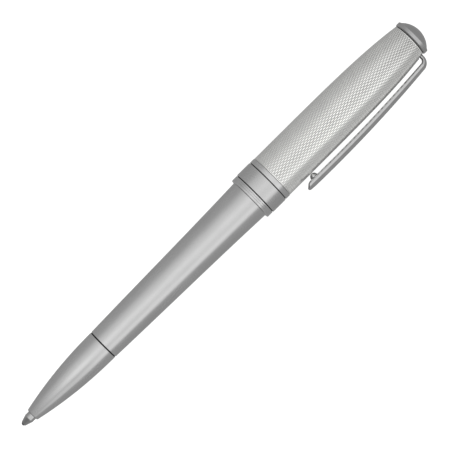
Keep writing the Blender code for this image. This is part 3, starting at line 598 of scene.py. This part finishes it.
def make_shell(metal):
    count = 3 * GRAIN_ROWS
    start, end = SHELL_START + PLAIN_EDGE, SHELL_END - PLAIN_EDGE
    steps = round((end - start) / GRAIN_LENGTH * GRAIN_STEPS)
    zs = [SHELL_END - 0.10]
    zs += [end - (end - start) * step / steps for step in range(steps + 1)]
    zs += [SHELL_START + 0.08]
    rings, depths = engraved_surface(zs)
    bore = [(SHELL_RADIUS - 0.07, SHELL_START), (RING_BORE, SHELL_START), (RING_BORE, BORE_TAPER)]
    bore += [(shell_radius(z) - SHELL_WALL, z) for z in np.linspace(BORE_TAPER, SHELL_END, 12)]
    bore += [(shell_radius(SHELL_END) - 0.12, SHELL_END)]
    for radius, z in bore:
        rings.append([
            (radius * math.cos(TAU * i / count), radius * math.sin(TAU * i / count), z)
            for i in range(count)
        ])
        depths.append([0.0] * count)
    total = len(rings)
    vertices = np.array(rings, float).reshape(-1, 3) * MM
    faces = []
    for ring in range(total):
        following = (ring + 1) % total
        for i in range(count):
            j = (i + 1) % count
            faces.append((ring * count + i, following * count + i, following * count + j, ring * count + j))
    mesh = bpy.data.meshes.new("upper_barrel")
    mesh.from_pydata(vertices.tolist(), [], faces)
    layer = mesh.attributes.new("depth", "FLOAT", "POINT")
    layer.data.foreach_set("value", np.array(depths, np.float32).ravel())
    mesh.update()
    shell = bpy.data.objects.new("shell_blank", mesh)
    bpy.context.scene.collection.objects.link(shell)
    notch = notch_cutter()
    boolean = shell.modifiers.new("notch", "BOOLEAN")
    boolean.operation = "DIFFERENCE"
    boolean.solver = "MANIFOLD"
    boolean.object = notch
    bpy.context.view_layer.update()
    cut = bpy.data.meshes.new_from_object(shell.evaluated_get(bpy.context.evaluated_depsgraph_get()))
    bpy.data.objects.remove(shell, do_unlink=True)
    bpy.data.objects.remove(notch, do_unlink=True)
    # painted shade on the shell round the clip's notch: near black at the notch's edges, fading out over
    # the reach
    notch_shade = cut.attributes.new("notch_shade", "FLOAT", "POINT")
    for vertex, notch_shade_mark in zip(cut.vertices, notch_shade.data):
        x, y, z = vertex.co / MM
        away = math.hypot(max(0.0, abs(y) - NOTCH_WIDTH / 2), max(0.0, NOTCH_FLOOR - z))
        notch_shade_mark.value = max(0.0, 1.0 - away / NOTCH_SHADE_REACH) if x > 0 else 0.0
    place("upper_barrel", cut, "upper", metal, ["upper_barrel"], sharp=9)


def notch_cutter():
    """A box with a rounded floor that opens the shell's end for the clip."""
    rounding = 0.35
    floor, half = NOTCH_FLOOR, NOTCH_WIDTH / 2
    shape = bmesh.new()
    outline = [(half, SHELL_END + 1), (-half, SHELL_END + 1)]
    outline += [(-half + rounding - rounding * math.cos(a), floor + rounding - rounding * math.sin(a))
                for a in np.radians(range(0, 91, 15))]
    outline += [(half - rounding + rounding * math.sin(a), floor + rounding - rounding * math.cos(a))
                for a in np.radians(range(0, 91, 15))]
    near = [shape.verts.new((3.0 * MM, y * MM, z * MM)) for y, z in outline]
    far = [shape.verts.new((7.0 * MM, y * MM, z * MM)) for y, z in outline]
    shape.faces.new(near)
    shape.faces.new(list(reversed(far)))
    for i in range(len(outline)):
        j = (i + 1) % len(outline)
        shape.faces.new((near[i], far[i], far[j], near[j]))
    bmesh.ops.recalc_face_normals(shape, faces=shape.faces)
    mesh = bpy.data.meshes.new("notch")
    shape.to_mesh(mesh)
    shape.free()
    obj = bpy.data.objects.new("notch", mesh)
    bpy.context.scene.collection.objects.link(obj)
    return obj


# ---------------------------------------------------------------- finial
def make_finial(metal):
    base = station("finial_cap", 0)
    edge, rise = 4.60, 2.05
    sphere = (edge ** 2 + rise ** 2) / (2 * rise)
    reach = math.asin(edge / sphere)
    steps = 40
    dome = [
        (sphere * math.sin(reach * i / steps), TOP - sphere + sphere * math.cos(reach * i / steps))
        for i in range(steps)
    ]
    rim = TOP - rise
    profile = dome + [
        (edge, rim, 0.30), (FINIAL_RADIUS - 0.08, rim - 0.04, 0.10), (FINIAL_RADIUS, rim - 0.18, 0.10),
        (FINIAL_RADIUS, FINIAL_BASE + 0.30, 0.16), (FINIAL_RADIUS - 0.18, FINIAL_BASE, 0.04),
        (3.5, FINIAL_BASE), (3.5, base), (0.88, base), (0.88, 135.4), (0.0, 135.4),
    ]
    profile[0] = (0.0, TOP)
    lathe("finial_cap", profile, "upper", "finial_metal", metal, closed=False)


# ---------------------------------------------------------------- clip
CREST = 99.0
OUTER_SWEEP = 344.0
INNER_SWEEP = 430.0
LEG_TOP = 133.28
LEG_THICKNESS = 0.92
OUTER_BEND = 2.50
INNER_BEND = 0.80
ROOT_X = 4.15
HALF_WIDTH = 1.38
LEG_HALF_WIDTH = 1.20
CREASE = 0.487
FRONT_SHARE = 0.42
BAR_START = 92.1
BALL_STATION = 93.35
BALL_RADIUS = 1.05

# the slanted free end: inner x and station, outer x and station, share of the width
FREE_END = (
    (8.35, 90.17, 8.75, 90.17, 0.66),
    (7.86, 90.76, 8.97, 90.42, 0.88),
    (7.42, 91.26, 9.05, 90.90, 0.98),
)


def clip_outer(z):
    return 9.19 - (z - CREST) ** 2 / (2 * OUTER_SWEEP)


def clip_inner(z):
    return 7.31 - (z - CREST) ** 2 / (2 * INNER_SWEEP)


def free_end_sections():
    """The free end's sections, sampled finely and eased so that its corners turn softly."""
    keys = [list(key) for key in FREE_END]
    for z in (BAR_START, BAR_START + 0.9):
        keys.append([clip_inner(z), z, clip_outer(z), z, 1.0])
    samples = np.linspace(0, len(keys) - 1, 33)
    columns = [np.interp(samples, range(len(keys)), column) for column in zip(*keys)]
    for _ in range(6):
        for column in columns:
            column[1:-1] = (column[:-2] + 2 * column[1:-1] + column[2:]) / 4
    return [((a, b), (c, d), HALF_WIDTH * share) for a, b, c, d, share in zip(*columns)]


def clip_sections():
    """(inner point, outer point, half width) of the clip from its free end to its root."""
    sections = free_end_sections()
    for z in np.linspace(BAR_START + 1.5, 130.9, 60):
        sections.append(((clip_inner(z), z), (clip_outer(z), z), HALF_WIDTH))
    outer_centre = LEG_TOP - OUTER_BEND
    inner_centre = LEG_TOP - LEG_THICKNESS - INNER_BEND
    outer_tilt = (outer_centre - CREST) / OUTER_SWEEP
    inner_tilt = (inner_centre - CREST) / INNER_SWEEP
    outer_x = clip_outer(outer_centre) - OUTER_BEND * math.cos(outer_tilt)
    inner_x = clip_inner(inner_centre) - INNER_BEND * math.cos(inner_tilt)
    bends = 28
    for step in range(1, bends + 1):
        share = step / bends
        outer_angle = outer_tilt + (math.pi / 2 - outer_tilt) * share
        inner_angle = inner_tilt + (math.pi / 2 - inner_tilt) * share
        sections.append((
            (
                inner_x + INNER_BEND * math.cos(inner_angle),
                inner_centre + INNER_BEND * math.sin(inner_angle),
            ),
            (
                outer_x + OUTER_BEND * math.cos(outer_angle),
                outer_centre + OUTER_BEND * math.sin(outer_angle),
            ),
            HALF_WIDTH + (LEG_HALF_WIDTH - HALF_WIDTH) * share,
        ))
    for share in (0.5, 1.0):
        sections.append((
            (inner_x + (ROOT_X - inner_x) * share, LEG_TOP - LEG_THICKNESS),
            (outer_x + (ROOT_X - outer_x) * share, LEG_TOP),
            LEG_HALF_WIDTH,
        ))
    return sections


def clip_ring_points(inner, outer, width):
    """The clip's section with rounded corners, as points from its flat back round its front."""
    inner = Vector((inner[0], 0, inner[1]))
    outer = Vector((outer[0], 0, outer[1]))
    thick = (outer - inner).length
    scale = min(1.0, thick / 0.9, width / 0.9)
    inset = width * 0.78
    bevel = 0.19
    corners = [
        (-inset, 0.0, 0.08), (-width, bevel, 0.10), (-width, CREASE, 0.18),
        (-width * FRONT_SHARE, 1.0, 0.20), (width * FRONT_SHARE, 1.0, 0.20),
        (width, CREASE, 0.18), (width, bevel, 0.10), (inset, 0.0, 0.08),
    ]
    flat = [(y, share * thick, size * scale) for y, share, size in corners]
    section = filleted(flat, True, 5)
    direction = (outer - inner).normalized() if thick > 1e-9 else Vector((1, 0, 0))
    return [(inner + direction * up + Vector((0, y, 0)), wear, up < 0.05) for y, up, wear in section]


def make_clip(metal, ball_metal):
    shape = bmesh.new()
    edge = shape.verts.layers.float.new("edge")
    # back marks the flat inner face turned towards the barrel, where the plate paints shade
    back = shape.verts.layers.float.new("back")
    rings = []
    for inner, outer, width in clip_sections():
        ring = []
        for spot, wear, behind in clip_ring_points(inner, outer, width):
            vertex = shape.verts.new(spot * MM)
            vertex[edge] = wear
            vertex[back] = float(behind)
            ring.append(vertex)
        rings.append(ring)
    for here, there in zip(rings, rings[1:]):
        for i in range(len(here)):
            j = (i + 1) % len(here)
            shape.faces.new((here[i], here[j], there[j], there[i]))
    shape.faces.new(rings[0])
    shape.faces.new(list(reversed(rings[-1])))
    bmesh.ops.recalc_face_normals(shape, faces=shape.faces)
    mesh = bpy.data.meshes.new("clip")
    shape.to_mesh(mesh)
    shape.free()
    place("clip", mesh, "clip", metal, ["clip"], sharp=50)

    centre = shell_radius(BALL_STATION) + BALL_RADIUS + 0.05
    seat = clip_inner(BALL_STATION) - centre
    neck = 0.98
    profile = [(0.0, seat), (neck, seat, 0.05), (neck, seat - 0.04, 0.08)]
    start = math.asin((0.12 - seat) / BALL_RADIUS)
    profile += [(BALL_RADIUS * math.cos(a), -BALL_RADIUS * math.sin(a))
                for a in np.linspace(start, math.pi / 2, 24)]
    profile[-1] = (0.0, -BALL_RADIUS)
    ball = lathe("clip_ball", profile, None, "polished_metal", ball_metal, closed=False, segments=64)
    seat_point = Matrix.Translation((centre * MM, 0, BALL_STATION * MM))
    ball.matrix_world = PEN @ seat_point @ Matrix.Rotation(math.pi / 2, 4, "Y")
    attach(ball, "clip")


# ---------------------------------------------------------------- carried-over parts
def dress_cad_parts(finishes):
    for node, (material, slot) in finishes.items():
        obj = frame["nodes"][node]
        obj.data.materials.clear()
        obj.data.materials.append(material)


# ---------------------------------------------------------------- stage
CAMERA_DISTANCE = 0.65
CAMERA_STATION = 52.0
CAMERA_TARGET = (0.25, 0.0, 69.5)
CAMERA_ROLL = math.radians(44.82)
FRAME_WIDTH = 0.1101
SENSOR = 36.0


def make_camera():
    """Square to the clip's side, a little nearer the tip, and rolled so that the pen climbs."""
    spot = PEN @ Vector((CAMERA_TARGET[0] * MM, 0, CAMERA_STATION * MM)) - SIDE * CAMERA_DISTANCE
    target = PEN @ (Vector(CAMERA_TARGET) * MM)
    back = (spot - target).normalized()
    along = (ALONG - back * ALONG.dot(back)).normalized()
    across = back.cross(along)
    right = along * math.cos(CAMERA_ROLL) - across * math.sin(CAMERA_ROLL)
    up = along * math.sin(CAMERA_ROLL) + across * math.cos(CAMERA_ROLL)
    data = bpy.data.cameras.new("camera")
    data.sensor_width = SENSOR
    data.lens = SENSOR * (spot - target).length / FRAME_WIDTH
    data.clip_start, data.clip_end = 0.05, 10.0
    camera = bpy.data.objects.new("camera", data)
    bpy.context.scene.collection.objects.link(camera)
    matrix = Matrix((right, up, back)).transposed().to_4x4()
    matrix.translation = spot
    camera.matrix_world = matrix
    bpy.context.scene.camera = camera


def make_floor():
    graph = Graph("floor_white")
    mottle = graph.noise(0.02, 2.0, 0.5)
    tone = graph.mix(graph.remap(mottle, 0.0, 1.0), (0.30, 0.30, 0.30), (0.32, 0.32, 0.32))
    graph.join(tone, graph.shader.inputs["Emission Color"])
    graph.shader.inputs["Emission Strength"].default_value = 3.2
    graph.finish(tone, graph.remap(mottle, 0.85, 0.95), metallic=0.0)
    bpy.ops.mesh.primitive_plane_add(size=4.0, location=(0, 0, -0.00002))
    floor = bpy.context.active_object
    floor.name = "floor"
    floor.data.materials.append(graph.material)
    floor.visible_glossy = False


# brightness of the studio round the pen's axis, by degrees above the horizon in front of the pen;
# 90 is straight overhead and 180 is the horizon behind
STUDIO = (
    (-180, 0.40), (-78, 0.39), (-38, 0.43), (-20, 0.46), (-12, 0.96), (-5, 1.13), (4, 1.14), (14, 1.02),
    (25, 0.98), (38, 1.02), (52, 1.04), (62, 0.96), (85, 0.82), (98, 0.70), (111, 0.56), (124, 0.48),
    (157, 0.43), (180, 0.40),
)
STUDIO_PEAK = 1.15
STUDIO_SHADE = 0.40
# a soft lamp high in front, a little towards the tip, and a dimmer patch below it
LAMP_SIDE = 0.20
LAMP_GAIN = 0.26
LAMP_HEIGHT = math.radians(50)
DIM_HEIGHT = math.radians(10)


def make_world():
    """A wide soft box overhead and in front; grey behind, below and towards both ends."""
    world = bpy.data.worlds.new("studio")
    bpy.context.scene.world = world
    world.use_nodes = True
    nodes, links = world.node_tree.nodes, world.node_tree.links
    coordinates = nodes.new("ShaderNodeTexCoord")
    split = nodes.new("ShaderNodeSeparateXYZ")
    links.new(coordinates.outputs["Generated"], split.inputs["Vector"])

    def maths(operation, *values):
        node = nodes.new("ShaderNodeMath")
        node.operation = operation
        for slot, value in zip(node.inputs, values):
            if isinstance(value, (int, float)):
                slot.default_value = value
            else:
                links.new(value, slot)
        return node.outputs["Value"]

    def fade(value, low, high, start, end):
        node = nodes.new("ShaderNodeMapRange")
        node.interpolation_type = "SMOOTHSTEP"
        node.inputs["From Min"].default_value = low
        node.inputs["From Max"].default_value = high
        node.inputs["To Min"].default_value = start
        node.inputs["To Max"].default_value = end
        links.new(value, node.inputs["Value"])
        return node.outputs["Result"]

    front = maths("MULTIPLY", split.outputs["Y"], -1.0)
    height = maths("ARCTAN2", split.outputs["Z"], front)
    turn = maths("ADD", maths("DIVIDE", height, TAU), 0.5)
    ramp = nodes.new("ShaderNodeValToRGB")
    stops = ramp.color_ramp.elements
    while len(stops) < len(STUDIO):
        stops.new(1.0)
    for stop, (degrees, brightness) in zip(stops, STUDIO):
        stop.position = degrees / 360 + 0.5
        stop.color = (*[brightness / STUDIO_PEAK] * 3, 1.0)
    links.new(turn, ramp.inputs["Fac"])
    around = maths("MULTIPLY", ramp.outputs["Color"], STUDIO_PEAK)
    lit = fade(maths("ABSOLUTE", split.outputs["X"]), 0.16, 0.58, 1.0, 0.12)
    level = maths("MULTIPLY", maths("SUBTRACT", around, STUDIO_SHADE), lit)
    level = maths("ADD", level, STUDIO_SHADE)
    side = maths("ABSOLUTE", maths("ADD", split.outputs["X"], LAMP_SIDE))
    near_lamp = fade(side, 0.03, 0.14, 1.0, 0.0)
    off_lamp = maths("ABSOLUTE", maths("SUBTRACT", height, LAMP_HEIGHT))
    lamp = maths("MULTIPLY", near_lamp, fade(off_lamp, 0.10, 0.42, 1.0, 0.0))
    off_dim = maths("ABSOLUTE", maths("SUBTRACT", height, DIM_HEIGHT))
    dim = maths("MULTIPLY", near_lamp, fade(off_dim, 0.25, 0.42, 1.0, 0.0))
    level = maths("ADD", level, maths("MULTIPLY", lamp, LAMP_GAIN))
    level = maths("SUBTRACT", level, maths("MULTIPLY", dim, LAMP_GAIN))
    level = maths("MULTIPLY", level, fade(split.outputs["X"], -0.75, -0.42, 0.45, 1.0))
    background = nodes["Background"]
    background.inputs["Color"].default_value = (1.0, 1.0, 1.0, 1.0)
    links.new(level, background.inputs["Strength"])


# ---------------------------------------------------------------- build
def build():
    satin = satin_metal("satin_plate", (0.62, 0.62, 0.62), 0.24)
    trim = satin_metal("satin_trim_plate", (0.63, 0.63, 0.63), 0.24, 0.8)
    band = satin_metal("satin_band_plate", (0.60, 0.60, 0.60), 0.25, 0.8)
    finial = satin_metal("satin_finial_plate", (0.52, 0.52, 0.52), 0.34, 0.8)
    silver = engraved_metal("engraved_plate", (0.95, 0.95, 0.93), 0.20)
    clip_plate = polished_metal("clip_plate", (0.53, 0.53, 0.53), 0.15)
    ball_plate = polished_metal("clip_ball_plate", (0.82, 0.82, 0.82), 0.12)
    point = polished_metal("point_metal", (0.54, 0.54, 0.54), 0.10)
    carbide = polished_metal("carbide", (0.40, 0.40, 0.41), 0.12)
    tube = polished_metal("drawn_tube", (0.58, 0.58, 0.59), 0.26)
    steel = polished_metal("bright_steel", (0.52, 0.52, 0.53), 0.2)
    black_rubber = soft_plastic("black_rubber", (0.012, 0.012, 0.013), 0.55)
    black_plastic = soft_plastic("black_plastic", (0.010, 0.010, 0.011), 0.4)
    acetal = soft_plastic("white_acetal", (0.72, 0.71, 0.68), 0.45)
    ink = soft_plastic("ink_paste", (0.008, 0.012, 0.05), 0.3)
    brass = brass_metal("turned_brass", (0.72, 0.50, 0.20), (0.42, 0.26, 0.10))
    black_brass = brass_metal("blackened_brass", (0.035, 0.028, 0.020), (0.018, 0.014, 0.010))

    make_refill(point, carbide, tube)
    make_spring(steel)
    make_nose(satin, black_rubber)
    make_barrel(satin)
    make_rings(trim, band, black_plastic)
    make_shell(silver)
    make_finial(finial)
    make_clip(clip_plate, ball_plate)
    dress_cad_parts({
        "ink_column": (ink, "ink"),
        "refill_end_plug": (black_plastic, "black_plastic"),
        "mechanism_sleeve": (brass, "brass"),
        "twist_o_ring": (black_rubber, "black_rubber"),
        "thrust_washer": (acetal, "white_plastic"),
        "retaining_ring": (steel, "spring_steel"),
        "mechanism_plunger": (acetal, "white_plastic"),
        "drive_pin": (steel, "spring_steel"),
        "cam_tube": (acetal, "white_plastic"),
        "band_carrier": (black_brass, "brass"),
        "upper_liner": (brass, "brass"),
        "top_plug": (brass, "brass"),
        "spring_washer": (steel, "spring_steel"),
        "clip_ring": (clip_plate, "polished_metal"),
        "finial_stud": (steel, "spring_steel"),
        "stud_nut": (brass, "brass"),
    })
    make_floor()
    make_world()
    make_camera()
    bpy.context.scene.view_settings.view_transform = "Standard"


build()
